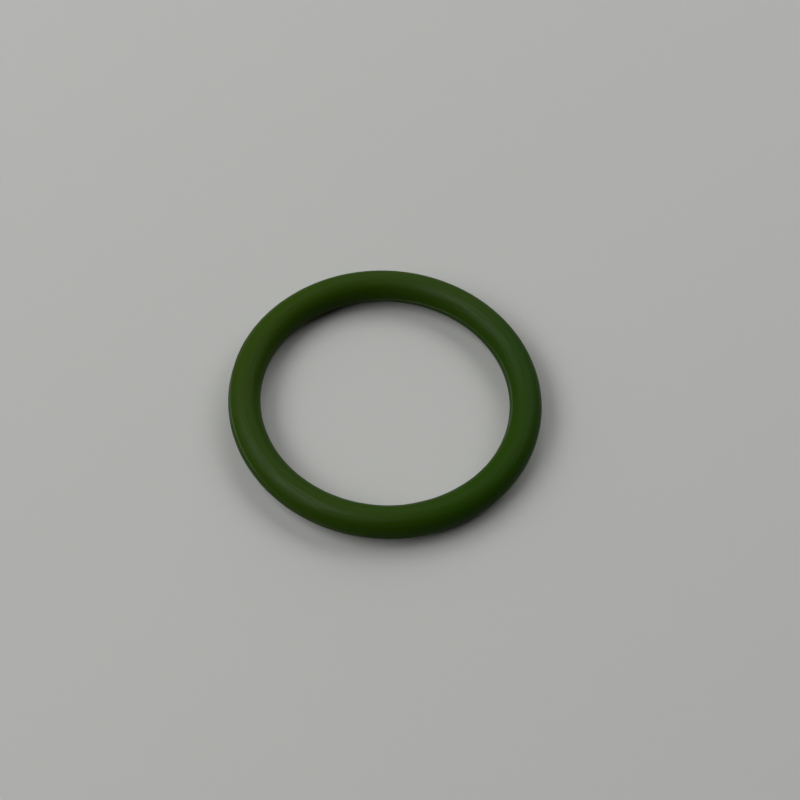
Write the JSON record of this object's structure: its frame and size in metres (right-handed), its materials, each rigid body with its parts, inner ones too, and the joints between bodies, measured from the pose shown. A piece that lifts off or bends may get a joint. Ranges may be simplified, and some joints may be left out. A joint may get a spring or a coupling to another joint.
{
  "type": "o-ring",
  "caption": "Green rubber O-ring: one moulded ring of round section, with a fine trimmed parting line round its inside and its outside.",
  "frame": {"origin": "centre of the ring, on its axis, in the plane of its parting line", "axes": "+Z along the ring's axis, up as the ring lies flat; the ring is round, so +X and +Y are any two of its radii at right angles"},
  "size_m": [0.0256, 0.0256, 0.0026],
  "materials": {
    "green_rubber": "matte"
  },
  "bodies": {
    "root": {"o_ring": "green_rubber"}
  },
  "joints": []
}
